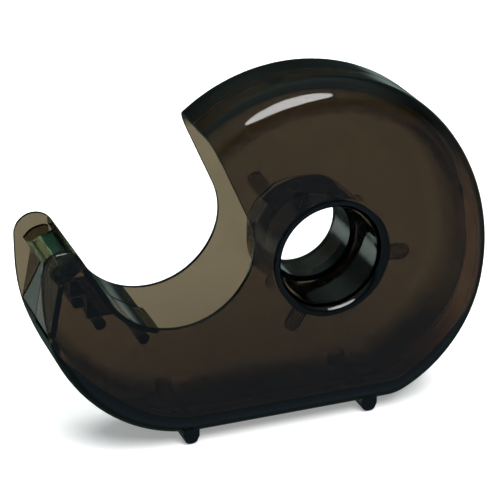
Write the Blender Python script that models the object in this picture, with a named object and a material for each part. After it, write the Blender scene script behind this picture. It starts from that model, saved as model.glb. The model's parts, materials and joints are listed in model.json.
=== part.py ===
"""Hand-held tape dispenser: two clear shell halves with a hub, a tape shelf and a cutter nose.

The side view lies in the XZ plane and the width runs along Y. All outline
values are measured from the hub axis. The "tape_axis" empty carries the whole
model, and the "front_half_slide" empty carries the half that pulls off.
"""

import math

import bmesh
import bpy

MM = 0.001

# Driving dimensions
HALF_WIDTH = 11.1 * MM
WALL = 1.2 * MM
GAP = 0.3 * MM
SEAM = 0.3 * MM
RIM_ROUND_IN = 6.2 * MM
RIM_ROUND_SIDE = 5.9 * MM
NOSE_ROUND = 0.5 * MM

# The rim is thicker on top and underneath, and the front plate has a thick band along its top
RIM_WALLS = {-1: 2.4 * MM, 1: 1.9 * MM}
BAND_WALL = 2.05 * MM
BAND_EDGE = 4.6 * MM
BAND_SLOPE = 1.8 * MM
SIDE_RISE = 0.3
TOP_RISE = 0.8

# Outer outline: three arcs from the shell's tip round to the flat bottom
TOP_RADIUS = 37.45 * MM
TOP_CENTRE = (-2.21 * MM, -0.37 * MM)
TIP_ANGLE = 128.0
TOP_END_ANGLE = 38.0
RIGHT_RADIUS = 44.0 * MM
RIGHT_END_ANGLE = -10.0
HEEL_RADIUS = 31.6 * MM
HEEL_END_ANGLE = -64.0
BOTTOM_Z = -36.0 * MM
BOTTOM_LEFT_X = -27.6 * MM
BOW_WIDTH = 32.6 * MM
BOW_HEIGHT = 37.0 * MM
ARC_STEP = 7.5
ROUND_STEPS = 4

# Nose and the round cut-out
NOSE_CENTRE = (-55.9 * MM, 5.9 * MM)
NOSE_RADIUS = BOW_WIDTH - BOTTOM_LEFT_X + NOSE_CENTRE[0]
MOUTH_CENTRE = (-32.7 * MM, 6.1 * MM)
MOUTH_RADIUS = 16.0 * MM
MOUTH_SIDE_RADIUS = 14.2 * MM
MOUTH_SIDE_START = -20.0
MOUTH_TOP_ANGLE = 23.5
WINDOW_FLOOR = {-1: -8.9 * MM, 1: -8.0 * MM}
FULL_ROUND_Z = -20.0 * MM
PANEL_TOP = (-57.0 * MM, 3.0 * MM)
PANEL_FOOT = (-59.1 * MM, -7.7 * MM)
CUTTER_EDGE = (-58.4 * MM, 5.3 * MM)
CUTTER_VALLEY = (-57.4 * MM, 4.5 * MM)
CUTTER_BACK = (-55.15 * MM, 5.35 * MM)
TOOTH_PITCH = 1.0 * MM
TOOTH_DEPTH = 0.45 * MM
LANDING_BACK = (-51.75 * MM, 6.75 * MM)
STOP_LOW_CORNER = (-53.0 * MM, 5.1 * MM)
STRIP_HALF_LENGTH = 8.5 * MM
STOP_CENTRE = (-54.4 * MM, 2.8 * MM)
STOP_RADIUS = 4.75 * MM
SHELF_TOP_Z = 6.0 * MM
SHELF_END_X = {-1: -36.6 * MM, 1: -37.6 * MM}

# Hub, pads, pins and feet
FRONT_TUBE_RADIUS = 12.5 * MM
FRONT_BORE_RADIUS = 10.6 * MM
FRONT_TUBE_END = 5.0 * MM
SLOT_ANGLE = 25.0
SLOT_DEPTH = 3.5 * MM
BACK_TUBE_RADIUS = 10.25 * MM
BACK_BORE_RADIUS = 8.95 * MM
BACK_TUBE_END = 1.0 * MM
FRONT_LIP = (1.7 * MM, 2.0 * MM)
BACK_LIP = (0.6 * MM, 2.4 * MM)
LIP_STEPS = 4
TUBE_SEGMENTS = 48
PAD_WIDTH = 3.4 * MM
PAD_THICKNESS = 0.5 * MM
FRONT_PADS = {"reach": 17.3 * MM, "angles": (-4.0, 117.0, 238.0)}
BACK_PADS = {"reach": 15.9 * MM, "angles": (10.0, 129.0, 249.0)}
PIN_RADIUS = 1.2 * MM
PIN_PLACES = ((-53.2 * MM, -1.1 * MM), (-48.8 * MM, -6.5 * MM), (-40.0 * MM, -11.2 * MM))
PIN_SHOULDER = 2.0 * MM
SPIGOT_RADIUS = 0.5 * MM
SPIGOT_END = 5.0 * MM
PIN_SEGMENTS = 12
FOOT_PLACES = {"left": -29.7 * MM, "right": 10.0 * MM}
FOOT_BOTTOM_Z = -38.0 * MM
WEB_DEPTH = 1.5 * MM
FOOT_WIDTH = 3.4 * MM
FOOT_LAND = 1.4 * MM
FOOT_REACH = {-1: 9.0 * MM, 1: 10.9 * MM}
FOOT_STATIONS = 6
TAB_ANGLES = {"top": 100.0, "right": 15.0}
TAB_SIZE = (3.0 * MM, 0.9 * MM, 3.2 * MM)

# The hub axis above the ground, and ahead of the middle of the length
RIGHT_CENTRE = tuple(
    centre - (RIGHT_RADIUS - TOP_RADIUS) * turn(math.radians(TOP_END_ANGLE))
    for centre, turn in zip(TOP_CENTRE, (math.cos, math.sin))
)
HUB_X = -(RIGHT_CENTRE[0] + RIGHT_RADIUS + BOTTOM_LEFT_X - BOW_WIDTH) / 2
HUB_Z = -FOOT_BOTTOM_Z

MATERIALS = {
    "smoke": ((0.17, 0.15, 0.11), 0.08),
    "smoke_dark": ((0.09, 0.085, 0.075), 0.1),
    "shelf_tint": ((0.05, 0.12, 0.1), 0.08),
    "cutter_tint": ((0.22, 0.3, 0.17), 0.25),
}


def clear_scene():
    for thing in list(bpy.data.objects):
        bpy.data.objects.remove(thing, do_unlink=True)


def plastic(name, look):
    """The sub-part's own Principled material, from one of the tints."""
    colour, roughness = MATERIALS[look]
    material = bpy.data.materials.new(name)
    material.use_nodes = True
    shader = material.node_tree.nodes["Principled BSDF"]
    shader.inputs["Base Color"].default_value = (*colour, 1.0)
    shader.inputs["Roughness"].default_value = roughness
    shader.inputs["Metallic"].default_value = 0.0
    shader.inputs["Transmission Weight"].default_value = 0.7
    shader.inputs["IOR"].default_value = 1.53
    material.diffuse_color = (*colour, 1.0)
    return material


def empty(name, place, parent=None):
    """An empty that carries other objects."""
    carrier = bpy.data.objects.new(name, None)
    carrier.location = place
    carrier.parent = parent
    bpy.context.scene.collection.objects.link(carrier)
    return carrier


def solid(name, rings, parent, look=None, wrap=False):
    """A closed mesh through equal closed rings of points; look None makes it a hidden cutter."""
    mesh = bpy.data.meshes.new(name)
    model = bmesh.new()
    rows = [[model.verts.new(point) for point in ring] for ring in rings]
    pairs = list(zip(rows, rows[1:]))
    if wrap:
        pairs.append((rows[-1], rows[0]))
    else:
        model.faces.new(reversed(rows[0]))
        model.faces.new(rows[-1])
    for low, high in pairs:
        for i, point in enumerate(low):
            j = (i + 1) % len(low)
            model.faces.new((point, low[j], high[j], high[i]))
    bmesh.ops.remove_doubles(model, verts=model.verts, dist=1e-6)
    bmesh.ops.recalc_face_normals(model, faces=model.faces)
    model.to_mesh(mesh)
    model.free()
    made = bpy.data.objects.new(name, mesh)
    made.parent = parent
    bpy.context.scene.collection.objects.link(made)
    if look is None:
        made.hide_render = True
        made.display_type = "WIRE"
    else:
        mesh.materials.append(plastic(name, look))
        mesh.shade_smooth()
        mesh.set_sharp_from_angle(angle=math.radians(35))
    return made


def extruded(name, outline, low_y, high_y, parent, look=None):
    """A side-view outline pushed along Y."""
    rings = [[(x, y, z) for x, z in outline] for y in (low_y, high_y)]
    return solid(name, rings, parent, look)


def turned(name, profile, parent, look=None, segments=TUBE_SEGMENTS):
    """A closed (radius, y) profile turned a full circle about the parent's Y axis."""
    turns = [2 * math.pi * i / segments for i in range(segments)]
    rings = [[(r * math.cos(a), y, r * math.sin(a)) for r, y in profile] for a in turns]
    return solid(name, rings, parent, look, wrap=True)


def cut(target, cutter):
    """Takes the cutter out of the target."""
    modifier = target.modifiers.new("cut_" + cutter.name, "BOOLEAN")
    modifier.operation = "DIFFERENCE"
    modifier.solver = "EXACT"
    modifier.object = cutter


def arc(centre, radius, start, end, step=ARC_STEP):
    """Points from one angle to the other, in degrees, both ends included."""
    count = max(1, math.ceil(abs(end - start) / step))
    angles = [math.radians(start + (end - start) * i / count) for i in range(count + 1)]
    wide, high = radius if isinstance(radius, tuple) else (radius, radius)
    return [(centre[0] + wide * math.cos(a), centre[1] + high * math.sin(a)) for a in angles]


def inner_centre(centre, radius, next_radius, angle):
    """The centre of the arc that carries on smoothly from this one at an angle."""
    turn = math.radians(angle)
    return (
        centre[0] + (radius - next_radius) * math.cos(turn),
        centre[1] + (radius - next_radius) * math.sin(turn),
    )


def nose_edge_angle():
    """The direction, in degrees, from the nose's centre to the end of its straight edge."""
    across = MOUTH_CENTRE[0] - NOSE_CENTRE[0]
    rise = MOUTH_CENTRE[1] - NOSE_CENTRE[1]
    share = (NOSE_RADIUS + MOUTH_RADIUS) / math.hypot(across, rise)
    return math.degrees(math.atan2(rise, across) + math.acos(share))


def heel_radius():
    """The radius of the last small arc, which comes down level on the flat bottom."""
    sine = math.sin(math.radians(-HEEL_END_ANGLE))
    centre = inner_centre(RIGHT_CENTRE, RIGHT_RADIUS, HEEL_RADIUS, RIGHT_END_ANGLE)
    return (centre[1] - BOTTOM_Z - HEEL_RADIUS * sine) / (1 - sine)


def outer_outline():
    """The closed side view without the cut-out, clockwise from the shell's tip."""
    heel_centre = inner_centre(RIGHT_CENTRE, RIGHT_RADIUS, HEEL_RADIUS, RIGHT_END_ANGLE)
    last_radius = heel_radius()
    last_centre = inner_centre(heel_centre, HEEL_RADIUS, last_radius, HEEL_END_ANGLE)
    bow_centre = (BOTTOM_LEFT_X, BOTTOM_Z + BOW_HEIGHT)
    outline = arc(TOP_CENTRE, TOP_RADIUS, TIP_ANGLE, TOP_END_ANGLE)
    outline += arc(RIGHT_CENTRE, RIGHT_RADIUS, TOP_END_ANGLE, RIGHT_END_ANGLE)[1:]
    outline += arc(heel_centre, HEEL_RADIUS, RIGHT_END_ANGLE, HEEL_END_ANGLE)[1:]
    outline += arc(last_centre, last_radius, HEEL_END_ANGLE, -90)[1:]
    outline += arc(bow_centre, (BOW_WIDTH, BOW_HEIGHT), -90, -180)
    outline += arc(NOSE_CENTRE, NOSE_RADIUS, 180, nose_edge_angle(), 2 * ARC_STEP)
    return outline


def outward(outline, i):
    """The outward direction at a point of a clockwise outline."""
    before = outline[i - 1]
    after = outline[(i + 1) % len(outline)]
    along = (after[0] - before[0], after[1] - before[1])
    length = math.hypot(*along)
    return (-along[1] / length, along[0] / length)


def round_share(x, z):
    """How much of the full rim rounding a place on the outline has: none on the nose."""
    if x > BOTTOM_LEFT_X:
        return 1.0
    top = WINDOW_FLOOR[1]
    return min(1.0, max(0.0, (top - z) / (top - FULL_ROUND_Z)))


def upright_share(rise):
    """How much a rim whose outward direction rises this much is top or bottom: none at the sides."""
    share = min(1.0, max(0.0, (abs(rise) - SIDE_RISE) / (TOP_RISE - SIDE_RISE)))
    return share * share * (3 - 2 * share)


def rim_wall(side, rise, share):
    """The rim's thickness at a place with this much of the full rounding."""
    return WALL + (RIM_WALLS[side] - WALL) * share * upright_share(rise)


def shell_ring(outline, i, side):
    """The section of a shell's rim at one outline point: out along the rim, back inside."""
    x, z = outline[i]
    out = outward(outline, i)
    share = round_share(x, z)
    round_in = NOSE_ROUND + (RIM_ROUND_IN - NOSE_ROUND) * share
    round_side = NOSE_ROUND + (RIM_ROUND_SIDE - NOSE_ROUND) * share
    angles = [math.pi / 2 * k / ROUND_STEPS for k in range(ROUND_STEPS + 1)]
    section = [(0.0, SEAM / 2)]
    for a in angles:
        section.append(
            (round_in * (1 - math.cos(a)), HALF_WIDTH - round_side * (1 - math.sin(a)))
        )
    rim = rim_wall(side, out[1], share)
    banded = upright_share(out[1]) * share if side < 0 and out[1] > 0 else 0.0
    band = WALL + (BAND_WALL - WALL) * banded
    edge = RIM_ROUND_IN + (BAND_EDGE - RIM_ROUND_IN) * banded
    inner_in = (edge - rim) * share
    inner_side = max(0.0, round_side - band)
    section.append((WALL + (edge + BAND_SLOPE - WALL) * share, HALF_WIDTH - WALL))
    for a in reversed(angles):
        section.append(
            (rim + inner_in * (1 - math.cos(a)), HALF_WIDTH - band - inner_side * (1 - math.sin(a)))
        )
    section.append((rim, SEAM / 2))
    return [(x - out[0] * inset, side * y, z - out[1] * inset) for inset, y in section]


def shell(name, side, parent):
    """One half of the shell: a side plate with its rounded rim, open at the seam."""
    outline = outer_outline()
    rings = [shell_ring(outline, i, side) for i in range(len(outline))]
    plate_row = ROUND_STEPS + 1
    mesh = bpy.data.meshes.new(name)
    model = bmesh.new()
    columns = [[model.verts.new(point) for point in ring] for ring in rings]
    rows = len(rings[0])
    for i, column in enumerate(columns):
        after = columns[(i + 1) % len(columns)]
        for k in range(rows):
            if k != plate_row:
                low = (k + 1) % rows
                model.faces.new((column[k], column[low], after[low], after[k]))
    model.faces.new([column[plate_row] for column in columns])
    model.faces.new([column[plate_row + 1] for column in columns])
    bmesh.ops.remove_doubles(model, verts=model.verts, dist=1e-6)
    bmesh.ops.dissolve_degenerate(model, edges=model.edges, dist=1e-6)
    bmesh.ops.recalc_face_normals(model, faces=model.faces)
    model.to_mesh(mesh)
    model.free()
    mesh.materials.append(plastic(name, "smoke"))
    mesh.shade_smooth()
    mesh.set_sharp_from_angle(angle=math.radians(35))
    made = bpy.data.objects.new(name, mesh)
    made.parent = parent
    bpy.context.scene.collection.objects.link(made)
    return made


def mouth_edge():
    """The cut-out's edge, from the nose's straight edge round to the shell's tip."""
    side_centre = inner_centre(MOUTH_CENTRE, MOUTH_RADIUS, MOUTH_SIDE_RADIUS, MOUTH_SIDE_START)
    start = nose_edge_angle() - 180
    lower = arc(MOUTH_CENTRE, MOUTH_RADIUS, start, MOUTH_SIDE_START)
    upper = arc(side_centre, MOUTH_SIDE_RADIUS, MOUTH_SIDE_START, MOUTH_TOP_ANGLE)
    return lower + upper[1:]


def far_point(place, angle, length):
    """A point at a distance from a place, at an angle in degrees."""
    turn = math.radians(angle)
    return (place[0] + length * math.cos(turn), place[1] + length * math.sin(turn))


def mouth_cutter(side, parent):
    """The space of the cut-out, which opens up and to the left."""
    edge = mouth_edge()
    reach = 2 * MOUTH_RADIUS
    nose_side = far_point(edge[0], nose_edge_angle() + 90, reach)
    tip_side = far_point(edge[-1], MOUTH_TOP_ANGLE + 90, reach)
    outline = [nose_side] + edge + [tip_side]
    return extruded(f"mouth_cutter_{side}", outline, -2 * HALF_WIDTH, 2 * HALF_WIDTH, parent)


def window_cutter(side, parent):
    """The opening between the side plates at the nose."""
    left = NOSE_CENTRE[0] - 2 * NOSE_RADIUS
    right = NOSE_CENTRE[0] + 0.6 * NOSE_RADIUS
    low = WINDOW_FLOOR[side]
    high = NOSE_CENTRE[1] + 2 * NOSE_RADIUS
    outline = [(left, low), (right, low), (right, high), (left, high)]
    reach = side * (HALF_WIDTH - WALL)
    name = f"window_cutter_{side}"
    return extruded(name, outline, min(reach, 0), max(reach, 0), parent)


def hub_hole_cutter(side, radius, parent):
    """The round hole that the hub tube stands in."""
    outline = arc((0, 0), radius, 0, 360)[:-1]
    ends = sorted((side * (HALF_WIDTH - 2 * WALL), side * 2 * HALF_WIDTH))
    return extruded(f"hub_hole_cutter_{side}", outline, ends[0], ends[1], parent)


def shell_half(name, side, tube_radius, parent):
    made = shell(name, side, parent)
    cut(made, mouth_cutter(side, parent))
    cut(made, window_cutter(side, parent))
    cut(made, hub_hole_cutter(side, tube_radius + GAP, parent))
    return made


def tube_profile(outer, bore, face, end, lip):
    """Section of a hub tube whose bore opens out at the face in a rounded lip."""
    flare, depth = lip
    inward = math.copysign(depth, end - face)
    profile = [(outer, face), (outer, end), (bore, end)]
    for k in range(LIP_STEPS + 1):
        turn = math.pi / 2 * k / LIP_STEPS
        profile.append((bore + flare * (1 - math.cos(turn)), face + inward * (1 - math.sin(turn))))
    return profile


def slot_cutter(name, angle, parent):
    """A wedge that takes one slot out of the front tube's inner end."""
    half = SLOT_ANGLE / 2
    reach = 1.3 * FRONT_TUBE_RADIUS
    near = 0.7 * FRONT_BORE_RADIUS
    outline = [
        far_point((0, 0), angle - half, near),
        far_point((0, 0), angle - half, reach),
        far_point((0, 0), angle + half, reach),
        far_point((0, 0), angle + half, near),
    ]
    low = FRONT_TUBE_END - SLOT_DEPTH
    return extruded(name, outline, low, FRONT_TUBE_END + WALL, parent)


def hub(front, back):
    """The two hub tubes: the back one runs inside the front one."""
    profile = tube_profile(
        FRONT_TUBE_RADIUS, FRONT_BORE_RADIUS, -HALF_WIDTH, FRONT_TUBE_END, FRONT_LIP
    )
    tube = turned("front_hub_tube", profile, front, "smoke")
    for number, angle in enumerate((30.0, 150.0, 270.0), 1):
        cut(tube, slot_cutter(f"slot_cutter_{number}", angle, front))
    profile = tube_profile(BACK_TUBE_RADIUS, BACK_BORE_RADIUS, HALF_WIDTH, BACK_TUBE_END, BACK_LIP)
    turned("back_hub_tube", profile, back, "smoke")


def pads(half, side, tube_radius, choice, parent):
    """Round-ended pads that stand out from the hub on the plate's inner face."""
    half_width = PAD_WIDTH / 2
    root = tube_radius + GAP
    lean = math.degrees(math.asin(half_width / root))
    outline = arc((0, 0), root, lean, -lean)
    outline += arc((choice["reach"] - half_width, 0), half_width, -90, 90, 30)
    face = HALF_WIDTH - WALL - GAP
    ends = sorted((side * face, side * (face - PAD_THICKNESS)))
    for number, angle in enumerate(choice["angles"], 1):
        pad = extruded(f"{half}_hub_pad_{number}", outline, ends[0], ends[1], parent, "smoke")
        pad.rotation_euler.y = -math.radians(angle)


def pins_and_sockets(front, back):
    """Front pins with a thin spigot, and the hollow posts that take them on the back half."""
    face = HALF_WIDTH - WALL - GAP
    pin = [
        (0.0, -face),
        (PIN_RADIUS, -face),
        (PIN_RADIUS, PIN_SHOULDER),
        (SPIGOT_RADIUS, PIN_SHOULDER),
        (SPIGOT_RADIUS, SPIGOT_END),
        (0.0, SPIGOT_END),
    ]
    post = [
        (PIN_RADIUS, PIN_SHOULDER + GAP),
        (PIN_RADIUS, face),
        (0.0, face),
        (0.0, SPIGOT_END + GAP),
        (SPIGOT_RADIUS + GAP, SPIGOT_END + GAP),
        (SPIGOT_RADIUS + GAP, PIN_SHOULDER + GAP),
    ]
    for number, (x, z) in enumerate(PIN_PLACES, 1):
        made = turned(f"locating_pin_{number}", pin, front, "smoke_dark", PIN_SEGMENTS)
        made.location = (x, 0, z)
        made = turned(f"pin_socket_{number}", post, back, "smoke_dark", PIN_SEGMENTS)
        made.location = (x, 0, z)


def shelf(name, side, parent):
    """The wall under the tape, along the nose's straight edge and the cut-out's lower edge."""
    top, low = shelf_end()
    low_angle = -math.degrees(math.acos((SHELF_END_X[side] - MOUTH_CENTRE[0]) / MOUTH_RADIUS))
    start = nose_edge_angle() - 180
    upper = [top] + arc(MOUTH_CENTRE, MOUTH_RADIUS, start, low_angle)
    lower = arc(MOUTH_CENTRE, MOUTH_RADIUS + WALL, low_angle, start)
    lower.append(low)
    ends = sorted((side * SEAM / 2, side * (HALF_WIDTH - WALL - GAP)))
    extruded(name, upper + lower, ends[0], ends[1], parent, "shelf_tint")


def nose_panel(name, side, parent):
    """The sloping panel between the cheeks, below the cutter."""
    lean = math.degrees(math.atan2(PANEL_TOP[1] - PANEL_FOOT[1], PANEL_TOP[0] - PANEL_FOOT[0]))
    outline = [
        PANEL_TOP,
        PANEL_FOOT,
        far_point(PANEL_FOOT, lean - 90, WALL),
        far_point(PANEL_TOP, lean - 90, WALL),
    ]
    ends = sorted((side * SEAM / 2, side * (HALF_WIDTH - WALL - GAP)))
    extruded(name, outline, ends[0], ends[1], parent, "smoke")


def cutter_strip(parent):
    """The toothed strip whose front edge tears the tape."""
    count = round(2 * STRIP_HALF_LENGTH / TOOTH_PITCH) * 2
    rings = []
    for i in range(count + 1):
        y = -STRIP_HALF_LENGTH + i * TOOTH_PITCH / 2
        depth = TOOTH_DEPTH if i % 2 else 0.0
        edge = (CUTTER_EDGE[0] + depth, CUTTER_EDGE[1] - 0.5 * depth)
        outline = [
            edge,
            CUTTER_VALLEY,
            CUTTER_BACK,
            (CUTTER_BACK[0], CUTTER_BACK[1] - WALL),
            (PANEL_TOP[0] + GAP, PANEL_TOP[1] + 1.5 * GAP),
        ]
        rings.append([(x, y, z) for x, z in outline])
    solid("cutter_strip", rings, parent, "cutter_tint")


def shelf_end():
    """The upper and lower corner of the shelf's end on the nose's straight edge."""
    edge_angle = nose_edge_angle()
    nose_end = far_point(NOSE_CENTRE, edge_angle, NOSE_RADIUS)
    drop = (nose_end[1] - SHELF_TOP_Z) / math.cos(math.radians(edge_angle))
    top = far_point(nose_end, edge_angle - 90, drop)
    return top, far_point(top, edge_angle - 180, WALL)


def landing(parent):
    """The bar behind the cutter that the tape's end sticks to; it ends just above the shelf."""
    front_x = CUTTER_BACK[0] + GAP
    top, low = shelf_end()
    back_low = (low[0] - 1.5 * GAP, low[1] + GAP)
    outline = [
        (front_x, CUTTER_BACK[1] + GAP / 2),
        LANDING_BACK,
        (LANDING_BACK[0], top[1] + 1.2 * GAP),
        back_low,
        (back_low[0], back_low[1] - WALL / 2),
        (front_x, CUTTER_BACK[1] - WALL),
    ]
    extruded("landing", outline, -STRIP_HALF_LENGTH, STRIP_HALF_LENGTH, parent, "shelf_tint")


def end_stop(name, side, parent):
    """The half-moon at one end of the cutter that keeps the tape off the cheek."""
    outline = arc(STOP_CENTRE, STOP_RADIUS, 148, 77, 12)
    outline.append(STOP_LOW_CORNER)
    outline.append((PANEL_TOP[0] + GAP, PANEL_TOP[1] + 1.5 * GAP))
    ends = sorted((side * (STRIP_HALF_LENGTH + GAP), side * (HALF_WIDTH - WALL - GAP)))
    extruded(name, outline, ends[0], ends[1], parent, "cutter_tint")


def nose_web(parent):
    """The solid web that stiffens the nose behind the front plate."""
    edge_angle = nose_edge_angle()
    clear = MOUTH_RADIUS + WALL + GAP
    start = edge_angle - 180
    pin_x, pin_z = PIN_PLACES[0]
    above_pin = pin_z + PIN_RADIUS + 2 * GAP
    right_of_pin = pin_x + PIN_RADIUS + 2 * GAP
    low_z = PIN_PLACES[1][1] + PIN_RADIUS + 2 * GAP
    left_x = PANEL_TOP[0] + 2 * WALL
    top_z = CUTTER_BACK[1] - WALL - 2 * GAP
    beside_shelf = arc(MOUTH_CENTRE, clear, start + 9, start)
    slope = math.tan(math.radians(edge_angle))
    rise = top_z - beside_shelf[-1][1]
    top_right = (beside_shelf[-1][0] - rise * slope, top_z)
    outline = [(left_x, top_z), (left_x, above_pin), (right_of_pin, above_pin)]
    outline.append((right_of_pin, low_z))
    outline += beside_shelf
    outline.append(top_right)
    face = HALF_WIDTH - WALL - GAP
    extruded("nose_web", outline, -face, -(face - WEB_DEPTH), parent, "smoke_dark")


def rim_rise(y):
    """How far the bottom of the rim has curved up at a distance from the mid-plane."""
    flat = HALF_WIDTH - RIM_ROUND_SIDE
    share = max(0.0, y - flat) / RIM_ROUND_SIDE
    return RIM_ROUND_IN * (1 - math.sqrt(1 - share * share))


def foot(name, side, x, parent):
    """Half of a ridge under the shell: its top follows the rim, and its end is eased."""
    reach = FOOT_REACH[side]
    eased = reach - FOOT_LAND / 2
    flat = HALF_WIDTH - RIM_ROUND_SIDE
    curved = [flat + (eased - flat) * k / FOOT_STATIONS for k in range(FOOT_STATIONS + 1)]
    rings = []
    for y in [SEAM / 2] + curved + [reach]:
        lift = FOOT_LAND / 2 if y == reach else 0.0
        high = BOTTOM_Z - GAP + rim_rise(y)
        low = FOOT_BOTTOM_Z + lift
        half = FOOT_WIDTH / 2
        land = FOOT_LAND / 2
        middle = (BOTTOM_Z - GAP + FOOT_BOTTOM_Z) / 2
        outline = [(-half, high), (-half, middle + lift), (-land, low)]
        outline += [(land, low), (half, middle + lift), (half, high)]
        rings.append([(x + across, side * y, z) for across, z in outline])
    solid(name, rings, parent, "smoke_dark")


def seam_tab(name, angle, parent):
    """A small tongue inside the rim that lines the halves up across the seam."""
    wide, thick, length = TAB_SIZE
    on_top = angle > TOP_END_ANGLE
    centre = TOP_CENTRE if on_top else RIGHT_CENTRE
    radius = TOP_RADIUS if on_top else RIGHT_RADIUS
    rim = rim_wall(-1, math.sin(math.radians(angle)), 1.0)
    place = far_point(centre, angle, radius - rim - GAP)
    outline = [(-wide / 2, 0), (wide / 2, 0), (wide / 2, -thick), (-wide / 2, -thick)]
    tab = extruded(name, outline, -length / 2, length / 2, parent, "smoke_dark")
    tab.location = (place[0], 0, place[1])
    tab.rotation_euler.y = math.radians(90 - angle)


def build():
    clear_scene()
    axis = empty("tape_axis", (HUB_X, 0, HUB_Z))
    slide = empty("front_half_slide", (0, 0, 0), axis)
    shell_half("front_shell", -1, FRONT_TUBE_RADIUS, slide)
    shell_half("back_shell", 1, BACK_TUBE_RADIUS, axis)
    hub(slide, axis)
    pads("front", -1, FRONT_TUBE_RADIUS, FRONT_PADS, slide)
    pads("back", 1, BACK_TUBE_RADIUS, BACK_PADS, axis)
    pins_and_sockets(slide, axis)
    for half, side, parent in (("front", -1, slide), ("back", 1, axis)):
        shelf(f"{half}_tape_shelf", side, parent)
        nose_panel(f"{half}_nose_panel", side, parent)
        end_stop(f"{half}_end_stop", side, parent)
        for place, x in FOOT_PLACES.items():
            foot(f"{half}_foot_{place}", side, x, parent)
    cutter_strip(slide)
    landing(slide)
    nose_web(slide)
    for place, angle in TAB_ANGLES.items():
        seam_tab(f"seam_tab_{place}", angle, slide)


build()
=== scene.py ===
"""Studio scene of an empty hand-held tape dispenser in smoke-tinted clear plastic.

Each half is one fused moulding, as the real one is, and stands for most CAD nodes
of that half. Its hub tube is a piece of its own, and so are the cutter and the
landing. Outline values are measured from the hub axis, in the side view (X to the
right, Z up), and the width runs along Y. Side -1 is the front half, side 1 the back.
"""

import json
import math

import bmesh
import bpy
from mathutils import Matrix, Vector

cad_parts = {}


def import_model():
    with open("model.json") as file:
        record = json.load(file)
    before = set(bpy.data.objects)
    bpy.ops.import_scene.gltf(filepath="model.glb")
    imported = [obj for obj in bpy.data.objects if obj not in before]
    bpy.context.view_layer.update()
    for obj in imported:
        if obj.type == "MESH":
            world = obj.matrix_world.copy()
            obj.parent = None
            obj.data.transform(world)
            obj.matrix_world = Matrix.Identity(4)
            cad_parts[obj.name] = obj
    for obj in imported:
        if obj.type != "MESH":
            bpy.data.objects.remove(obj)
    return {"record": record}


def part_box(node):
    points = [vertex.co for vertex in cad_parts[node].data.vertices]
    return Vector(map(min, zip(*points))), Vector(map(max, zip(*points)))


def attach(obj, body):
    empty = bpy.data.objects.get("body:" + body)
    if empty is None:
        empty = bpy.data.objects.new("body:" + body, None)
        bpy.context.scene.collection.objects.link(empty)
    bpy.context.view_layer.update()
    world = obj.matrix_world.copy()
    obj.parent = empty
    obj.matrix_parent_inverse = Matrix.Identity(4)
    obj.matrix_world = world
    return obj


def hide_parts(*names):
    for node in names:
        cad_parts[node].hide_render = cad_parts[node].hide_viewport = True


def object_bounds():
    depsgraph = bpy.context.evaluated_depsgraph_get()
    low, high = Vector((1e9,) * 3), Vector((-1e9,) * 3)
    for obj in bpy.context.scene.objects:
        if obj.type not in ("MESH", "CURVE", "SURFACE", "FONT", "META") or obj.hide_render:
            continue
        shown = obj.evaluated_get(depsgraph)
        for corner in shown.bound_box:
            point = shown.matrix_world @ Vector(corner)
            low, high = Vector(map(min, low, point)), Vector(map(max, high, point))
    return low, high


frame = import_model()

cad_low, cad_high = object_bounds()

MM = 0.001
hub_low, hub_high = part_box("front_hub_tube")
HUB = Vector(((hub_low.x + hub_high.x) / 2, 0.0, (hub_low.z + hub_high.z) / 2))

# Sizes the frame gives
HALF_WIDTH = -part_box("front_shell")[0].y
FOOT_BOTTOM_Z = cad_low.z - HUB.z
FOOT_REACH = {-1: -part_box("front_foot_left")[0].y, 1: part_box("back_foot_left")[1].y}
FRONT_TUBE_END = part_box("front_hub_tube")[1].y
BACK_TUBE_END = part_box("back_hub_tube")[0].y
PIN_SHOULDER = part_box("pin_socket_1")[0].y

# Plate thickness, and the gaps between the halves and between the small pieces
WALL = 1.2 * MM
SEAM = 0.04 * MM
NOSE_SEAM = 0.3 * MM
CLEARANCE = 0.05 * MM

# Rounding of the rim, which fades out from the base up to the nose
RIM_ROUND_IN = 6.2 * MM
RIM_ROUND_SIDE = 5.9 * MM
NOSE_ROUND = 0.55 * MM
FULL_ROUND_Z = -20.0 * MM
ROUND_STEPS = 14

# Closing of the meshes, easing of the sharp edges to the right of the nose, and shading of the faces
MERGE_DISTANCE = 1e-7
EDGE_EASE = 0.32 * MM
EASED_FROM = -50.0 * MM
EASED_ANGLE = 50.0
SHORTEST_EDGE = 0.12 * MM
SMOOTH_ANGLE = 32.0
FLAT_WEIGHT = 80

# The rim's thickness on top, underneath and at the side, and the band along the front plate's top
TOP_WALLS = {-1: 1.8 * MM, 1: 1.6 * MM}
BASE_WALLS = {-1: 2.9 * MM, 1: 2.5 * MM}
SIDE_WALL = 1.5 * MM
BAND_WALL = 2.05 * MM
BAND_EDGE = 4.6 * MM
BAND_SLOPE = 1.8 * MM
SIDE_RISE = 0.3
TOP_RISE = 0.8

# Outer outline
TOP_RADIUS = 37.45 * MM
TOP_CENTRE = (-2.21 * MM, -0.37 * MM)
TIP_ANGLE = 128.0
TOP_END_ANGLE = 38.0
RIGHT_RADIUS = 44.0 * MM
RIGHT_CENTRE = tuple(
    centre - (RIGHT_RADIUS - TOP_RADIUS) * turn(math.radians(TOP_END_ANGLE))
    for centre, turn in zip(TOP_CENTRE, (math.cos, math.sin))
)
RIGHT_END_ANGLE = -10.0
HEEL_RADIUS = 31.6 * MM
HEEL_END_ANGLE = -64.0
BOTTOM_Z = -36.0 * MM
BOTTOM_LEFT_X = -27.6 * MM
BOW_WIDTH = 32.6 * MM
BOW_HEIGHT = 37.0 * MM
ARC_STEP = 2.5
TURNED_SEGMENTS = 150

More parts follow.
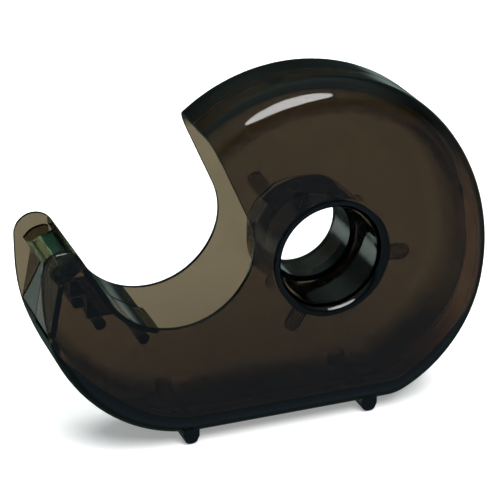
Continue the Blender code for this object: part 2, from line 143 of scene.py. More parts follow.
# Nose and the round cut-out
NOSE_CENTRE = (-55.9 * MM, 5.9 * MM)
NOSE_RADIUS = BOW_WIDTH - BOTTOM_LEFT_X + NOSE_CENTRE[0]
MOUTH_CENTRE = (-32.7 * MM, 6.1 * MM)
MOUTH_RADIUS = 16.0 * MM
MOUTH_SIDE_RADIUS = 14.2 * MM
MOUTH_SIDE_START = -20.0
MOUTH_TOP_ANGLE = 23.5
WINDOW_FLOOR = {-1: -8.9 * MM, 1: -7.75 * MM}
WINDOW_SHARE = 0.6
PANEL_TOP = (-57.0 * MM, 3.0 * MM)
PANEL_FOOT = (-59.1 * MM, -7.7 * MM)
CUTTER_EDGE = (-58.4 * MM, 5.3 * MM)
CUTTER_VALLEY = (-57.4 * MM, 4.5 * MM)
CUTTER_BACK = (-55.1 * MM, 5.4 * MM)
TOOTH_PITCH = 0.8 * MM
TOOTH_DEPTH = 0.4 * MM
LANDING_BACK = (-51.7 * MM, 6.8 * MM)
LANDING_RISE = 0.12 * MM
LANDING_GAP = 0.1 * MM
STOP_LOW_CORNER = (-53.0 * MM, 5.1 * MM)
STOP_CENTRE = (-54.4 * MM, 2.8 * MM)
STOP_RADIUS = 4.75 * MM
STOP_ANGLES = (148, 77)
STOP_WIDTH = 0.9 * MM
SHELF_TOP_Z = 6.0 * MM
SHELF_END_X = {-1: -36.6 * MM, 1: -37.6 * MM}
WEB_DEPTH = 1.8 * MM
WEB_SWEEP = 11

# Hub and the pads round it
FRONT_TUBE_RADIUS = 12.5 * MM
FRONT_BORE_RADIUS = 10.6 * MM
SLOT_PLACES = (30.0, 150.0, 270.0)
SLOT_ANGLE = 25.0
SLOT_DEPTH = 3.5 * MM
BACK_TUBE_RADIUS = 10.25 * MM
BACK_BORE_RADIUS = 8.95 * MM
LIPS = {-1: (1.75 * MM, 2.1 * MM), 1: (0.6 * MM, 2.6 * MM)}
LIP_STEPS = 10
TUBE_SEAT = 0.04 * MM
PAD_WIDTH = 3.4 * MM
PAD_HEIGHT = 0.7 * MM
PAD_ARC_STEP = 12
FRONT_PADS = {"reach": 17.3 * MM, "angles": (-4.0, 117.0, 238.0)}
BACK_PADS = {"reach": 15.9 * MM, "angles": (10.0, 129.0, 249.0)}

# Pins, feet and seam tabs
PIN_RADIUS = 1.2 * MM
PIN_EASE = 0.2 * MM
PIN_SEGMENTS = 32
FOOT_WIDTH = 3.4 * MM
FOOT_ROUND = 0.9 * MM
FOOT_EASE = 0.6 * MM
FOOT_SIDE_DROP = 0.3 * MM
FOOT_TOE_SHARE = 0.8
FOOT_STEPS = 16
FOOT_TOE_STEPS = 8
TAB_ANGLES = {"top": 100.0, "right": 15.0}
TAB_HALF_LENGTH = 1.5 * MM
TAB_DEPTH = 0.9 * MM
TAB_SEAT = 0.95

# Plastic: the tint as a colour and a density, and the gloss as a roughness and how far that varies
PLASTIC_IOR = 1.53
FRONT_COLOUR = (0.47, 0.377, 0.262)
FRONT_DENSITY = 2200.0
BACK_COLOUR = (0.434, 0.388, 0.273)
BACK_DENSITY = 3300.0
HUB_COLOUR = (0.42, 0.42, 0.4)
HUB_DENSITY = 3300.0
SMOKE_GLOSS = (0.005, 0.02)
CUTTER_COLOUR = (0.6, 0.75, 0.45)
CUTTER_DENSITY = 600.0
CUTTER_GLOSS = (0.15, 0.1)
LANDING_COLOUR = (0.06, 0.52, 0.51)
LANDING_DENSITY = 1500.0
LANDING_GLOSS = (0.02, 0.03)

# Moulding marks: slow waves in the surface, and fine wear in the gloss
WAVE_SCALE = 45.0
WAVE_DETAIL = 3.0
WAVE_HEIGHT = 0.06 * MM
WAVE_STRENGTH = 0.05
WEAR_SCALE = 900.0
WEAR_DETAIL = 5.0
WEAR_RANGE = (0.35, 0.75)
VIEWPORT_COLOUR = (0.17, 0.15, 0.11, 1.0)

# Studio
FLOOR_SIZE = 30.0
FLOOR_ROUGHNESS = 0.9
FLOOR_SPECULAR = 0.2
FLOOR_MOTTLE_SCALE = 30.0
FLOOR_SHADES = (0.9, 0.92)
FLOOR_GLOW = 0.3
FLOOR_SUN = 3.3
SUN_SPREAD = 60.0
KEY_DIRECTION = (0.1, -0.62, 0.78)
KEY_DISTANCE = 1.2
KEY_SIZE = (0.85, 0.65)
KEY_POWER = 13.0
ROOM_COLOUR = (0.12, 0.17, 0.21)
DARK_COLOUR = (0.035, 0.055, 0.05)
WALL_COLOUR = (0.75, 0.94, 0.87)
CEILING_COLOUR = (0.2, 0.27, 0.26)

# Where each part of the mirrored room fades in, as coordinates of a unit direction. A third value is the
# most that it shows.
LEFT_WALL = (-0.28, -0.48)
RIGHT_WALL = (0.43, 0.52, 0.4)
BACK_WALL = (0.6, 0.8)
WALL_TOP = (0.04, -0.14)
FRONT_ROOM = (0.2, -0.2)
FRONT_ROOM_TOP = (0.3, 0.1)
CEILING = (0.35, 0.75)

# Camera: its place from the hub and its lens in millimetres, and the way it looks in degrees
CAMERA_PLACE = (-148.34, -354.49, 170.0)
CAMERA_TURN = 20.81
CAMERA_LIFT = 24.21
CAMERA_LENS = 146.8
CAMERA_SENSOR = 36.0


# ---------------------------------------------------------------- outlines


def arc(centre, radius, start, end, step=ARC_STEP):
    """Points from one angle to the other, in degrees, both ends included."""
    count = max(1, math.ceil(abs(end - start) / step))
    angles = [math.radians(start + (end - start) * i / count) for i in range(count + 1)]
    wide, high = radius if isinstance(radius, tuple) else (radius, radius)
    return [(centre[0] + wide * math.cos(a), centre[1] + high * math.sin(a)) for a in angles]


def far_point(place, angle, length):
    """A point at a distance from a place, at an angle in degrees."""
    turn = math.radians(angle)
    return (place[0] + length * math.cos(turn), place[1] + length * math.sin(turn))


def inner_centre(centre, radius, next_radius, angle):
    """The centre of the arc that carries on smoothly from this one at an angle."""
    return far_point(centre, angle, radius - next_radius)


def nose_edge_angle():
    """The direction from the nose's centre to the end of its straight edge, in degrees."""
    across = MOUTH_CENTRE[0] - NOSE_CENTRE[0]
    rise = MOUTH_CENTRE[1] - NOSE_CENTRE[1]
    share = (NOSE_RADIUS + MOUTH_RADIUS) / math.hypot(across, rise)
    return math.degrees(math.atan2(rise, across) + math.acos(share))


def outer_outline():
    """The closed side view without the cut-out, clockwise from the shell's tip."""
    heel_centre = inner_centre(RIGHT_CENTRE, RIGHT_RADIUS, HEEL_RADIUS, RIGHT_END_ANGLE)
    sine = math.sin(math.radians(-HEEL_END_ANGLE))
    last_radius = (heel_centre[1] - BOTTOM_Z - HEEL_RADIUS * sine) / (1 - sine)
    last_centre = inner_centre(heel_centre, HEEL_RADIUS, last_radius, HEEL_END_ANGLE)
    bow_centre = (BOTTOM_LEFT_X, BOTTOM_Z + BOW_HEIGHT)
    outline = arc(TOP_CENTRE, TOP_RADIUS, TIP_ANGLE, TOP_END_ANGLE)
    outline += arc(RIGHT_CENTRE, RIGHT_RADIUS, TOP_END_ANGLE, RIGHT_END_ANGLE)[1:]
    outline += arc(heel_centre, HEEL_RADIUS, RIGHT_END_ANGLE, HEEL_END_ANGLE)[1:]
    outline += arc(last_centre, last_radius, HEEL_END_ANGLE, -90)[1:]
    outline += arc(bow_centre, (BOW_WIDTH, BOW_HEIGHT), -90, -180)
    outline += arc(NOSE_CENTRE, NOSE_RADIUS, 180, nose_edge_angle(), 3 * ARC_STEP)
    return outline


def mouth_edge():
    """The cut-out's edge, from the nose's straight edge round to the shell's tip."""
    side_centre = inner_centre(MOUTH_CENTRE, MOUTH_RADIUS, MOUTH_SIDE_RADIUS, MOUTH_SIDE_START)
    lower = arc(MOUTH_CENTRE, MOUTH_RADIUS, nose_edge_angle() - 180, MOUTH_SIDE_START)
    upper = arc(side_centre, MOUTH_SIDE_RADIUS, MOUTH_SIDE_START, MOUTH_TOP_ANGLE)
    return lower + upper[1:]


def outward(outline, i):
    """The outward direction at a point of a clockwise outline."""
    before = outline[i - 1]
    after = outline[(i + 1) % len(outline)]
    along = (after[0] - before[0], after[1] - before[1])
    length = math.hypot(*along)
    return (-along[1] / length, along[0] / length)


def round_share(x, z):
    """How much of the full rim rounding a place on the outline has: none on the nose."""
    if x > BOTTOM_LEFT_X:
        return 1.0
    top = WINDOW_FLOOR[1]
    share = min(1.0, max(0.0, (top - z) / (top - FULL_ROUND_Z)))
    return share * share * (3 - 2 * share)


# ------------------------------------------------------------ mesh helpers


def link(name, model):
    """A new object from a bmesh, in place on the hub axis."""
    bmesh.ops.remove_doubles(model, verts=model.verts, dist=MERGE_DISTANCE)
    bmesh.ops.dissolve_degenerate(model, edges=model.edges, dist=MERGE_DISTANCE)
    bare = [edge for edge in model.edges if not edge.link_faces]
    bmesh.ops.delete(model, geom=bare, context="EDGES")
    bmesh.ops.recalc_face_normals(model, faces=model.faces)
    mesh = bpy.data.meshes.new(name)
    model.to_mesh(mesh)
    model.free()
    mesh.transform(Matrix.Translation(HUB))
    made = bpy.data.objects.new(name, mesh)
    bpy.context.scene.collection.objects.link(made)
    return made


def skin(name, rings, wrap=False):
    """A closed mesh through equal closed rings of points."""
    model = bmesh.new()
    rows = [[model.verts.new(point) for point in ring] for ring in rings]
    pairs = list(zip(rows, rows[1:]))
    if wrap:
        pairs.append((rows[-1], rows[0]))
    else:
        model.faces.new(reversed(rows[0]))
        model.faces.new(rows[-1])
    for low, high in pairs:
        for i, point in enumerate(low):
            j = (i + 1) % len(low)
            model.faces.new((point, low[j], high[j], high[i]))
    return link(name, model)


def extruded(name, outline, low_y, high_y):
    """A side-view outline pushed along Y."""
    return skin(name, [[(x, y, z) for x, z in outline] for y in (low_y, high_y)])


def turned(name, profile, place=(0.0, 0.0), segments=TURNED_SEGMENTS):
    """A closed (radius, y) profile turned a full circle about a line along Y."""
    turns = [2 * math.pi * i / segments for i in range(segments)]
    rings = [
        [(place[0] + r * math.cos(a), y, place[1] + r * math.sin(a)) for r, y in profile]
        for a in turns
    ]
    return skin(name, rings, wrap=True)


def combine(target, others, operation):
    """Joins the others to the target, or cuts them out of it, and removes them."""
    for other in others:
        modifier = target.modifiers.new("boolean", "BOOLEAN")
        modifier.operation = operation
        modifier.solver = "EXACT"
        modifier.object = other
        settle(target)
        bpy.data.objects.remove(other, do_unlink=True)


def settle(target):
    """Makes the modifiers' result the object's own mesh."""
    graph = bpy.context.evaluated_depsgraph_get()
    mesh = bpy.data.meshes.new_from_object(target.evaluated_get(graph))
    target.modifiers.clear()
    target.data = mesh


def mark_eased_edges(piece):
    """Closes up the edges too short to ease, and marks the outer sharp ones, all but the nose's."""
    model = bmesh.new()
    model.from_mesh(piece.data)
    many_sided = [face for face in model.faces if len(face.verts) > 4]
    bmesh.ops.triangulate(model, faces=many_sided, ngon_method="BEAUTY")
    bmesh.ops.remove_doubles(model, verts=model.verts, dist=SHORTEST_EDGE)
    bmesh.ops.dissolve_degenerate(model, edges=model.edges, dist=SHORTEST_EDGE / 4)
    eased = model.edges.layers.float.new("bevel_weight_edge")
    for edge in model.edges:
        clear_of_nose = min(vert.co.x for vert in edge.verts) > HUB.x + EASED_FROM
        sharp = edge.is_convex and edge.calc_face_angle(0.0) > math.radians(EASED_ANGLE)
        if clear_of_nose and sharp:
            edge[eased] = 1.0
    model.to_mesh(piece.data)
    model.free()


def finish_surface(piece, ease=EDGE_EASE):
    """Eases the sharp edges, and shades flats flat and rounds smooth."""
    if ease:
        mark_eased_edges(piece)
        bevel = piece.modifiers.new("eased_edges", "BEVEL")
        bevel.width = ease
        bevel.segments = 2
        bevel.limit_method = "WEIGHT"
        bevel.miter_outer = "MITER_ARC"
        bevel.use_clamp_overlap = False
        bevel.loop_slide = False
        settle(piece)
    piece.data.shade_smooth()
    piece.data.set_sharp_from_angle(angle=math.radians(SMOOTH_ANGLE))
    weighted = piece.modifiers.new("flat_sides", "WEIGHTED_NORMAL")
    weighted.mode = "FACE_AREA"
    weighted.weight = FLAT_WEIGHT
    weighted.keep_sharp = True
    settle(piece)


# ------------------------------------------------------------ the mouldings


def upright_share(rise):
    """How much a rim whose outward direction rises this much is top or bottom: none at the sides."""
    share = min(1.0, max(0.0, (abs(rise) - SIDE_RISE) / (TOP_RISE - SIDE_RISE)))
    return share * share * (3 - 2 * share)


def rim_wall(side, rise, share):
    """The rim's thickness at a place with this much of the full rounding."""
    upright = TOP_WALLS[side] if rise > 0 else BASE_WALLS[side]
    full = SIDE_WALL + (upright - SIDE_WALL) * upright_share(rise)
    return WALL + (full - WALL) * share


def shell_ring(outline, i, side):
    """The section of a shell's rim at one outline point: out along the rim, back inside."""
    x, z = outline[i]
    out = outward(outline, i)
    share = round_share(x, z)
    round_in = NOSE_ROUND + (RIM_ROUND_IN - NOSE_ROUND) * share
    round_side = NOSE_ROUND + (RIM_ROUND_SIDE - NOSE_ROUND) * share
    angles = [math.pi / 2 * k / ROUND_STEPS for k in range(ROUND_STEPS + 1)]
    section = [(0.0, SEAM / 2)]
    for a in angles:
        section.append(
            (round_in * (1 - math.cos(a)), HALF_WIDTH - round_side * (1 - math.sin(a)))
        )
    rim = rim_wall(side, out[1], share)
    banded = upright_share(out[1]) * share if side < 0 and out[1] > 0 else 0.0
    band = WALL + (BAND_WALL - WALL) * banded
    edge = RIM_ROUND_IN + (BAND_EDGE - RIM_ROUND_IN) * banded
    inner_in = (edge - rim) * share
    inner_side = max(0.0, round_side - band)
    section.append((WALL + (edge + BAND_SLOPE - WALL) * share, HALF_WIDTH - WALL))
    for a in reversed(angles):
        section.append(
            (rim + inner_in * (1 - math.cos(a)), HALF_WIDTH - band - inner_side * (1 - math.sin(a)))
        )
    section.append((rim, SEAM / 2))
    return [(x - out[0] * inset, side * y, z - out[1] * inset) for inset, y in section]


def shell(name, side):
    """One side plate with its rounded rim, open at the seam."""
    outline = outer_outline()
    rings = [shell_ring(outline, i, side) for i in range(len(outline))]
    plate_row = ROUND_STEPS + 1
    model = bmesh.new()
    columns = [[model.verts.new(point) for point in ring] for ring in rings]
    rows = len(rings[0])
    for i, column in enumerate(columns):
        after = columns[(i + 1) % len(columns)]
        for k in range(rows):
            if k != plate_row:
                low = (k + 1) % rows
                model.faces.new((column[k], column[low], after[low], after[k]))
    model.faces.new([column[plate_row] for column in columns])
    model.faces.new([column[plate_row + 1] for column in columns])
    return link(name, model)


def span(side, near, far):
    """Low and high Y of a feature that lies between two distances from the mid-plane."""
    return sorted((side * near, side * far))


def mouth_cutter():
    """The space of the cut-out, which opens up and to the left."""
    edge = mouth_edge()
    reach = 2 * MOUTH_RADIUS
    nose_side = far_point(edge[0], nose_edge_angle() + 90, reach)
    tip_side = far_point(edge[-1], MOUTH_TOP_ANGLE + 90, reach)
    outline = [nose_side] + edge + [tip_side]
    return extruded("mouth_cutter", outline, -2 * HALF_WIDTH, 2 * HALF_WIDTH)


def window_cutter(side):
    """The opening between the side plates at the nose."""
    left = NOSE_CENTRE[0] - 2 * NOSE_RADIUS
    right = NOSE_CENTRE[0] + WINDOW_SHARE * NOSE_RADIUS
    low = WINDOW_FLOOR[side]
    high = NOSE_CENTRE[1] + 2 * NOSE_RADIUS
    outline = [(left, low), (right, low), (right, high), (left, high)]
    ends = span(side, -WALL, HALF_WIDTH - WALL)
    return extruded("window_cutter", outline, *ends)


def shelf_top():
    """The upper corner of the shelf's end, on the nose's straight edge."""
    edge_angle = nose_edge_angle()
    nose_end = far_point(NOSE_CENTRE, edge_angle, NOSE_RADIUS)
    drop = (nose_end[1] - SHELF_TOP_Z) / math.cos(math.radians(edge_angle))
    return far_point(nose_end, edge_angle - 90, drop)


def shelf(side):
    """The wall under the tape, left thick on its upper side for the cut-out to trim."""
    edge_angle = nose_edge_angle()
    start = edge_angle - 180
    low_angle = -math.degrees(math.acos((SHELF_END_X[side] - MOUTH_CENTRE[0]) / MOUTH_RADIUS))
    top = shelf_top()
    upper = [far_point(top, edge_angle, WALL)]
    upper += arc(MOUTH_CENTRE, MOUTH_RADIUS - WALL, start, low_angle)
    lower = arc(MOUTH_CENTRE, MOUTH_RADIUS + WALL, low_angle, start)
    lower.append(far_point(top, edge_angle - 180, WALL))
    return extruded("shelf", upper + lower, *span(side, NOSE_SEAM / 2, HALF_WIDTH - WALL / 2))


def panel(side):
    """The sloping panel between the cheeks, below the cutter."""
    lean = math.degrees(math.atan2(PANEL_TOP[1] - PANEL_FOOT[1], PANEL_TOP[0] - PANEL_FOOT[0]))
    outline = [
        PANEL_TOP,
        PANEL_FOOT,
        far_point(PANEL_FOOT, lean - 90, WALL),
        far_point(PANEL_TOP, lean - 90, WALL),
    ]
    return extruded("panel", outline, *span(side, NOSE_SEAM / 2, HALF_WIDTH - WALL / 2))


def end_stop(side):
    """The half-moon that keeps the tape off the cheek."""
    outline = arc(STOP_CENTRE, STOP_RADIUS, *STOP_ANGLES)
    outline.append(STOP_LOW_CORNER)
    outline.append((PANEL_TOP[0] + WALL / 4, PANEL_TOP[1] - WALL / 4))
    inner_face = HALF_WIDTH - WALL
    return extruded("end_stop", outline, *span(side, inner_face - STOP_WIDTH, inner_face + WALL / 2))


def pads(side, tube_radius, choice):
    """Round-ended pads that stand out from the hub on the plate's inner face."""
    made = []
    inner_face = HALF_WIDTH - WALL
    half = PAD_WIDTH / 2
    for angle in choice["angles"]:
        end = far_point((0, 0), angle, choice["reach"] - half)
        root = far_point((0, 0), angle, tube_radius + TUBE_SEAT)
        outline = [far_point(root, angle + 90, half), far_point(root, angle - 90, half)]
        outline += arc(end, half, angle - 90, angle + 90, PAD_ARC_STEP)
        ends = span(side, inner_face - PAD_HEIGHT, inner_face + WALL / 2)
        made.append(extruded("pad", outline, *ends))
    return made


def pins(side):
    """Round pins on the front half, and posts of the same size that meet them on the back."""
    inner_face = HALF_WIDTH - WALL / 2
    end = PIN_SHOULDER - SEAM if side < 0 else PIN_SHOULDER
    profile = [(0.0, side * inner_face), (PIN_RADIUS, side * inner_face)]
    profile += [(PIN_RADIUS, end + side * PIN_EASE), (PIN_RADIUS - PIN_EASE, end), (0.0, end)]
    made = []
    for number in (1, 2, 3):
        low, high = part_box(f"locating_pin_{number}")
        place = ((low.x + high.x) / 2 - HUB.x, (low.z + high.z) / 2 - HUB.z)
        made.append(turned("pin", profile, place, PIN_SEGMENTS))
    return made


def hub_tube(name, side):
    """A hub tube with a rounded lip at the face, and slots in its inner end on the front half."""
    outer = FRONT_TUBE_RADIUS if side < 0 else BACK_TUBE_RADIUS
    bore = FRONT_BORE_RADIUS if side < 0 else BACK_BORE_RADIUS
    end = FRONT_TUBE_END if side < 0 else BACK_TUBE_END
    face = side * HALF_WIDTH
    flare, depth = LIPS[side]
    profile = [
        (bore + flare * (1 - math.cos(a)), face - side * depth * (1 - math.sin(a)))
        for a in [math.pi / 2 * k / LIP_STEPS for k in range(LIP_STEPS + 1)]
    ]
    profile += [(outer, face), (outer, end), (bore, end)]
    tube = turned(name, profile)
    if side < 0:
        combine(tube, slot_cutters(), "DIFFERENCE")
    finish_surface(tube, 0)
    return tube


def tube_seat(side):
    """The round hole in a plate that its hub tube fills, a hair wider than the tube."""
    radius = (FRONT_TUBE_RADIUS if side < 0 else BACK_TUBE_RADIUS) + TUBE_SEAT
    far = side * 2 * HALF_WIDTH
    near = side * (HALF_WIDTH - 2 * WALL)
    return turned("tube_seat", [(0.0, near), (radius, near), (radius, far), (0.0, far)])


def slot_cutters():
    """Wedges that take the three slots out of the front tube's inner end."""
    made = []
    inside = 0.6 * FRONT_BORE_RADIUS
    outside = 1.3 * FRONT_TUBE_RADIUS
    half = SLOT_ANGLE / 2
    corners = ((-half, inside), (-half, outside), (half, outside), (half, inside))
    for angle in SLOT_PLACES:
        outline = [far_point((0, 0), angle + turn, reach) for turn, reach in corners]
        made.append(extruded("slot", outline, FRONT_TUBE_END - SLOT_DEPTH, FRONT_TUBE_END + WALL))
    return made


def rim_rise(y):
    """How far the bottom of the rim has curved up at a distance from the mid-plane."""
    share = max(0.0, y - HALF_WIDTH + RIM_ROUND_SIDE) / RIM_ROUND_SIDE
    return RIM_ROUND_IN * (1 - math.sqrt(1 - share * share))


def foot(side, x):
    """Half of a rounded ridge under the shell that climbs the rim towards the plate."""
    half = FOOT_WIDTH / 2
    reach = FOOT_REACH[side]
    side_foot = BOTTOM_Z - FOOT_SIDE_DROP
    rings = []
    for k in range(FOOT_STEPS + 1):
        turn = math.pi / 2 * k / FOOT_STEPS
        y = SEAM / 2 + (reach - SEAM / 2) * math.sin(turn)
        high = BOTTOM_Z + rim_rise(y) + WALL / 2
        near_end = max(0.0, (y - reach) / FOOT_EASE + 1)
        low = FOOT_BOTTOM_Z + FOOT_EASE * (1 - math.sqrt(max(0.0, 1 - near_end ** 2)))
        section = [(x - half, high), (x - half, side_foot)]
        for j in range(FOOT_TOE_STEPS + 1):
            a = math.pi + math.pi * j / FOOT_TOE_STEPS
            across = FOOT_TOE_SHARE * half * math.cos(a)
            section.append((x + across, low + FOOT_ROUND * (1 + math.sin(a))))
        section += [(x + half, side_foot), (x + half, high)]
        rings.append([(u, side * y, v) for u, v in section])
    return skin("foot", rings)


def feet(side):
    """The two ridges under one half."""
    made = []
    for place in ("left", "right"):
        low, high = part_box(f"back_foot_{place}")
        made.append(foot(side, (low.x + high.x) / 2 - HUB.x))
    return made


def web():
    """The solid web that stiffens the nose behind the front plate."""
    low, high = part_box("nose_web")
    edge_angle = nose_edge_angle()
    start = edge_angle - 180
    pin_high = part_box("locating_pin_1")[1]
    right_of_pin = pin_high.x - HUB.x + WALL / 2
    above_pin = pin_high.z - HUB.z + WALL / 2
    left_x = low.x - HUB.x
    low_z = low.z - HUB.z
    top_z = high.z - HUB.z
    beside = arc(MOUTH_CENTRE, MOUTH_RADIUS + WALL / 2, start + WEB_SWEEP, start)
    slope = math.tan(math.radians(edge_angle))
    top_right = (beside[-1][0] - (top_z - beside[-1][1]) * slope, top_z)
    outline = [(left_x, top_z), (left_x, above_pin), (right_of_pin, above_pin)]
    outline.append((right_of_pin, low_z))
    outline += beside
    outline.append(top_right)
    return extruded("web", outline, -(HALF_WIDTH - WALL / 2), -(HALF_WIDTH - WALL - WEB_DEPTH))


def seam_tabs():
    """Small lugs inside the front rim beside the seam, in the place of the CAD's seam tabs."""
    made = []
    for name, angle in TAB_ANGLES.items():
        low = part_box(f"seam_tab_{name}")[0]
        top = angle > TOP_END_ANGLE
        centre, radius = (TOP_CENTRE, TOP_RADIUS) if top else (RIGHT_CENTRE, RIGHT_RADIUS)
        rim = rim_wall(-1, math.sin(math.radians(angle)), 1.0)
        place = far_point(centre, angle, radius - TAB_SEAT * rim)
        left = far_point(place, angle + 90, TAB_HALF_LENGTH)
        right = far_point(place, angle - 90, TAB_HALF_LENGTH)
        below = [far_point(corner, angle + 180, TAB_DEPTH) for corner in (right, left)]
        made.append(extruded("tab", [left, right, *below], low.y, -SEAM))
    return made


def half_body(name, side):
    """One moulded half: shell, pads, pins, shelf, panel, end stop and feet as one."""
    body = shell(name, side)
    combine(body, [window_cutter(side)], "DIFFERENCE")
    added = [shelf(side), panel(side), end_stop(side)]
    choice, tube = (FRONT_PADS, FRONT_TUBE_RADIUS) if side < 0 else (BACK_PADS, BACK_TUBE_RADIUS)
    added += pads(side, tube, choice) + pins(side) + feet(side)
    if side < 0:
        added += [web()] + seam_tabs()
    combine(body, added, "UNION")
    combine(body, [mouth_cutter(), tube_seat(side)], "DIFFERENCE")
    finish_surface(body)
    return body


def reach_between_stops():
    """How far the pieces between the end stops reach from the mid-plane."""
    return HALF_WIDTH - WALL - STOP_WIDTH - CLEARANCE


def cutter_strip():
    """The toothed strip whose front edge tears the tape."""
    reach = reach_between_stops()
    count = round(2 * reach / TOOTH_PITCH) * 2
    rings = []
    for i in range(count + 1):
        y = -reach + i * reach / count * 2
        depth = TOOTH_DEPTH if i % 2 else 0.0
        outline = [
            (CUTTER_EDGE[0] + depth, CUTTER_EDGE[1] - depth / 2),
            CUTTER_VALLEY,
            CUTTER_BACK,
            (CUTTER_BACK[0], CUTTER_BACK[1] - WALL),
            (PANEL_TOP[0] + CLEARANCE, PANEL_TOP[1] + CLEARANCE),
        ]
        rings.append([(x, y, z) for x, z in outline])
    piece = skin("cutter_strip", rings)
    finish_surface(piece, 0)
    return piece


def landing():
    """The bar behind the cutter that the tape's end sticks to, as far as the shelf."""
    reach = reach_between_stops()
    front_x = CUTTER_BACK[0] + CLEARANCE
    top = shelf_top()
    low = far_point(top, nose_edge_angle() - 180, WALL)
    outline = [
        (front_x, CUTTER_BACK[1] + LANDING_RISE),
        LANDING_BACK,
        (LANDING_BACK[0], top[1] + LANDING_GAP),
        (low[0] - LANDING_GAP, low[1] + LANDING_GAP),
        (low[0] - LANDING_GAP, low[1] - WALL / 2),
        (front_x, CUTTER_BACK[1] - WALL),
    ]
    piece = extruded("landing", outline, -reach, reach)
    finish_surface(piece, 0)
    return piece


# --------------------------------------------------------------- materials


def tinted_plastic(name, absorbed, density, roughness, grain):
    """Clear moulded plastic whose tint comes from the depth of plastic the light crosses."""
    material = bpy.data.materials.new(name)
    material.use_nodes = True
    nodes = material.node_tree.nodes
    links = material.node_tree.links
    shader = nodes["Principled BSDF"]
    shader.inputs["Base Color"].default_value = (1.0, 1.0, 1.0, 1.0)
    shader.inputs["Transmission Weight"].default_value = 1.0
    shader.inputs["IOR"].default_value = PLASTIC_IOR
    place = nodes.new("ShaderNodeTexCoord")
    waves = nodes.new("ShaderNodeTexNoise")
    waves.inputs["Scale"].default_value = WAVE_SCALE
    waves.inputs["Detail"].default_value = WAVE_DETAIL
    wear = nodes.new("ShaderNodeTexNoise")
    wear.inputs["Scale"].default_value = WEAR_SCALE
    wear.inputs["Detail"].default_value = WEAR_DETAIL
    gloss = nodes.new("ShaderNodeMapRange")
    gloss.inputs["From Min"].default_value = WEAR_RANGE[0]
    gloss.inputs["From Max"].default_value = WEAR_RANGE[1]
    gloss.inputs["To Min"].default_value = roughness
    gloss.inputs["To Max"].default_value = roughness + grain
    bump = nodes.new("ShaderNodeBump")
    bump.inputs["Strength"].default_value = WAVE_STRENGTH
    bump.inputs["Distance"].default_value = WAVE_HEIGHT
    links.new(place.outputs["Object"], waves.inputs["Vector"])
    links.new(place.outputs["Object"], wear.inputs["Vector"])
    links.new(wear.outputs["Fac"], gloss.inputs["Value"])
    links.new(gloss.outputs["Result"], shader.inputs["Roughness"])
    links.new(waves.outputs["Fac"], bump.inputs["Height"])
    links.new(bump.outputs["Normal"], shader.inputs["Normal"])
    depth = nodes.new("ShaderNodeVolumeAbsorption")
    depth.inputs["Color"].default_value = (*absorbed, 1.0)
    depth.inputs["Density"].default_value = density
    links.new(depth.outputs["Volume"], nodes["Material Output"].inputs["Volume"])
    material.diffuse_color = VIEWPORT_COLOUR
    return material


def pale_floor():
    """A white light table: matt, faintly mottled, and lit from below as well as above."""
    material = bpy.data.materials.new("pale_floor")
    material.use_nodes = True
    nodes = material.node_tree.nodes
    links = material.node_tree.links
    shader = nodes["Principled BSDF"]
    shader.inputs["Roughness"].default_value = FLOOR_ROUGHNESS
    shader.inputs["Specular IOR Level"].default_value = FLOOR_SPECULAR
    shader.inputs["Emission Color"].default_value = (1.0, 1.0, 1.0, 1.0)
    shader.inputs["Emission Strength"].default_value = FLOOR_GLOW
    noise = nodes.new("ShaderNodeTexNoise")
    noise.inputs["Scale"].default_value = FLOOR_MOTTLE_SCALE
    ramp = nodes.new("ShaderNodeValToRGB")
    for stop, shade in zip(ramp.color_ramp.elements, FLOOR_SHADES):
        stop.color = (shade, shade, shade, 1.0)
    links.new(noise.outputs["Fac"], ramp.inputs["Fac"])
    links.new(ramp.outputs["Color"], shader.inputs["Base Color"])
    return material


# ------------------------------------------------------- studio and camera


def floor():
    """A large flat floor at the feet."""
    bpy.ops.mesh.primitive_plane_add(size=FLOOR_SIZE, location=(0, 0, cad_low.z))
    plane = bpy.context.object
    plane.name = "floor"
    plane.data.materials.append(pale_floor())
    plane.visible_glossy = False


def softbox():
    """An oval area light above the front, facing the hub: its mirror image is the crescent on the rim."""
    light = bpy.data.lights.new("key_softbox", "AREA")
    light.shape = "ELLIPSE"
    light.size = KEY_SIZE[0]
    light.size_y = KEY_SIZE[1]
    light.energy = KEY_POWER
    lamp = bpy.data.objects.new("key_softbox", light)
    direction = Vector(KEY_DIRECTION).normalized()
    lamp.location = HUB + direction * KEY_DISTANCE
    lamp.rotation_euler = direction.to_track_quat("Z", "Y").to_euler()
    bpy.context.scene.collection.objects.link(lamp)


def floor_light():
    """Light from straight above that whitens the floor and stays out of the gloss."""
    light = bpy.data.lights.new("floor_light", "SUN")
    light.energy = FLOOR_SUN
    light.angle = math.radians(SUN_SPREAD)
    lamp = bpy.data.objects.new("floor_light", light)
    lamp.visible_glossy = False
    bpy.context.scene.collection.objects.link(lamp)


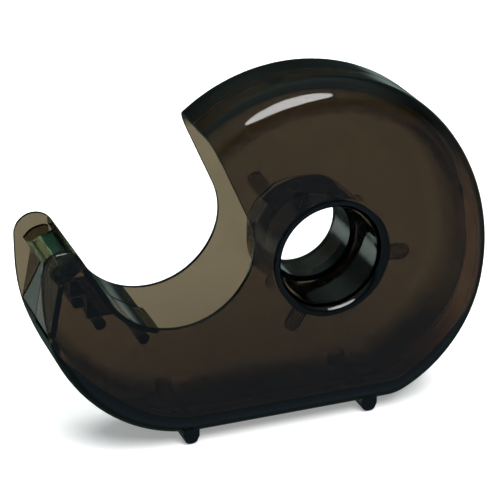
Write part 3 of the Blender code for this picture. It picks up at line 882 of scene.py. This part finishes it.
def world():
    """What the gloss mirrors: a dark room, dim in front and overhead, and pale low walls behind."""
    studio = bpy.data.worlds.new("studio")
    studio.use_nodes = True
    nodes = studio.node_tree.nodes
    links = studio.node_tree.links
    where = nodes.new("ShaderNodeTexCoord")
    parts = nodes.new("ShaderNodeSeparateXYZ")
    links.new(where.outputs["Generated"], parts.inputs["Vector"])

    def share_of(axis, start, end, most=1.0):
        """A smooth rise from none to the most as a direction's coordinate goes from start to end."""
        spread = nodes.new("ShaderNodeMapRange")
        spread.interpolation_type = "SMOOTHSTEP"
        spread.inputs["From Min"].default_value = start
        spread.inputs["From Max"].default_value = end
        spread.inputs["To Max"].default_value = most
        links.new(parts.outputs[axis], spread.inputs["Value"])
        return spread.outputs["Result"]

    def blend(share, first, second):
        """The first colour, or a colour made so far, with a share of the second."""
        mix = nodes.new("ShaderNodeMixRGB")
        links.new(share, mix.inputs["Fac"])
        mix.inputs["Color2"].default_value = (*second, 1.0)
        if isinstance(first, tuple):
            mix.inputs["Color1"].default_value = (*first, 1.0)
        else:
            links.new(first, mix.inputs["Color1"])
        return mix.outputs["Color"]

    def joined(operation, first, second):
        """Two shares added or multiplied."""
        both = nodes.new("ShaderNodeMath")
        both.operation = operation
        links.new(first, both.inputs[0])
        links.new(second, both.inputs[1])
        return both.outputs["Value"]

    left_or_right = joined("ADD", share_of("X", *LEFT_WALL), share_of("X", *RIGHT_WALL))
    behind = joined("MULTIPLY", share_of("Y", *BACK_WALL), left_or_right)
    low_behind = joined("MULTIPLY", behind, share_of("Z", *WALL_TOP))
    ahead = joined("MULTIPLY", share_of("Y", *FRONT_ROOM), share_of("Z", *FRONT_ROOM_TOP))
    above = blend(share_of("Z", *CEILING), DARK_COLOUR, CEILING_COLOUR)
    room = blend(ahead, above, ROOM_COLOUR)
    seen = blend(low_behind, room, WALL_COLOUR)
    links.new(seen, nodes["Background"].inputs["Color"])
    bpy.context.scene.world = studio


def camera():
    """The camera, at the left of the front and above."""
    turn = math.radians(CAMERA_TURN)
    lift = math.radians(CAMERA_LIFT)
    level = math.cos(lift)
    back = Vector((-math.sin(turn) * level, -math.cos(turn) * level, math.sin(lift)))
    lens = bpy.data.cameras.new("camera")
    lens.lens = CAMERA_LENS
    lens.sensor_width = CAMERA_SENSOR
    lens.clip_start = 0.01
    lens.clip_end = 100.0
    view = bpy.data.objects.new("camera", lens)
    view.location = HUB + Vector(CAMERA_PLACE) * MM
    view.rotation_mode = "QUATERNION"
    view.rotation_quaternion = back.to_track_quat("Z", "Y")
    bpy.context.scene.collection.objects.link(view)
    bpy.context.scene.camera = view


# ------------------------------------------------------------------- build


def dress(piece, body, material, nodes):
    """Gives a piece its material and its body, and hides the CAD nodes it stands for."""
    piece.data.materials.clear()
    piece.data.materials.append(material)
    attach(piece, body)
    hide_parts(*nodes)


def nodes_of(body, *others):
    """The CAD nodes of a body, without the ones that other pieces stand for."""
    members = frame["record"]["behaviour"]["bodies"][body]
    return [node for node in members if node not in others]


front_smoke = tinted_plastic("front_smoke", FRONT_COLOUR, FRONT_DENSITY, *SMOKE_GLOSS)
back_smoke = tinted_plastic("back_smoke", BACK_COLOUR, BACK_DENSITY, *SMOKE_GLOSS)
green = tinted_plastic("cutter_plastic", CUTTER_COLOUR, CUTTER_DENSITY, *CUTTER_GLOSS)
teal = tinted_plastic("landing_plastic", LANDING_COLOUR, LANDING_DENSITY, *LANDING_GLOSS)
hub_smoke = tinted_plastic("hub_smoke", HUB_COLOUR, HUB_DENSITY, *SMOKE_GLOSS)

front = half_body("front_body", -1)
back = half_body("back_body", 1)
separate = ("cutter_strip", "landing", "front_hub_tube")
dress(front, "front_half", front_smoke, nodes_of("front_half", *separate))
dress(back, "back_half", back_smoke, nodes_of("back_half", "back_hub_tube"))
dress(hub_tube("front_tube", -1), "front_half", hub_smoke, ["front_hub_tube"])
dress(hub_tube("back_tube", 1), "back_half", hub_smoke, ["back_hub_tube"])
dress(cutter_strip(), "front_half", green, ["cutter_strip"])
dress(landing(), "front_half", teal, ["landing"])

floor()
floor_light()
softbox()
world()
camera()
bpy.context.scene.view_settings.view_transform = "Standard"
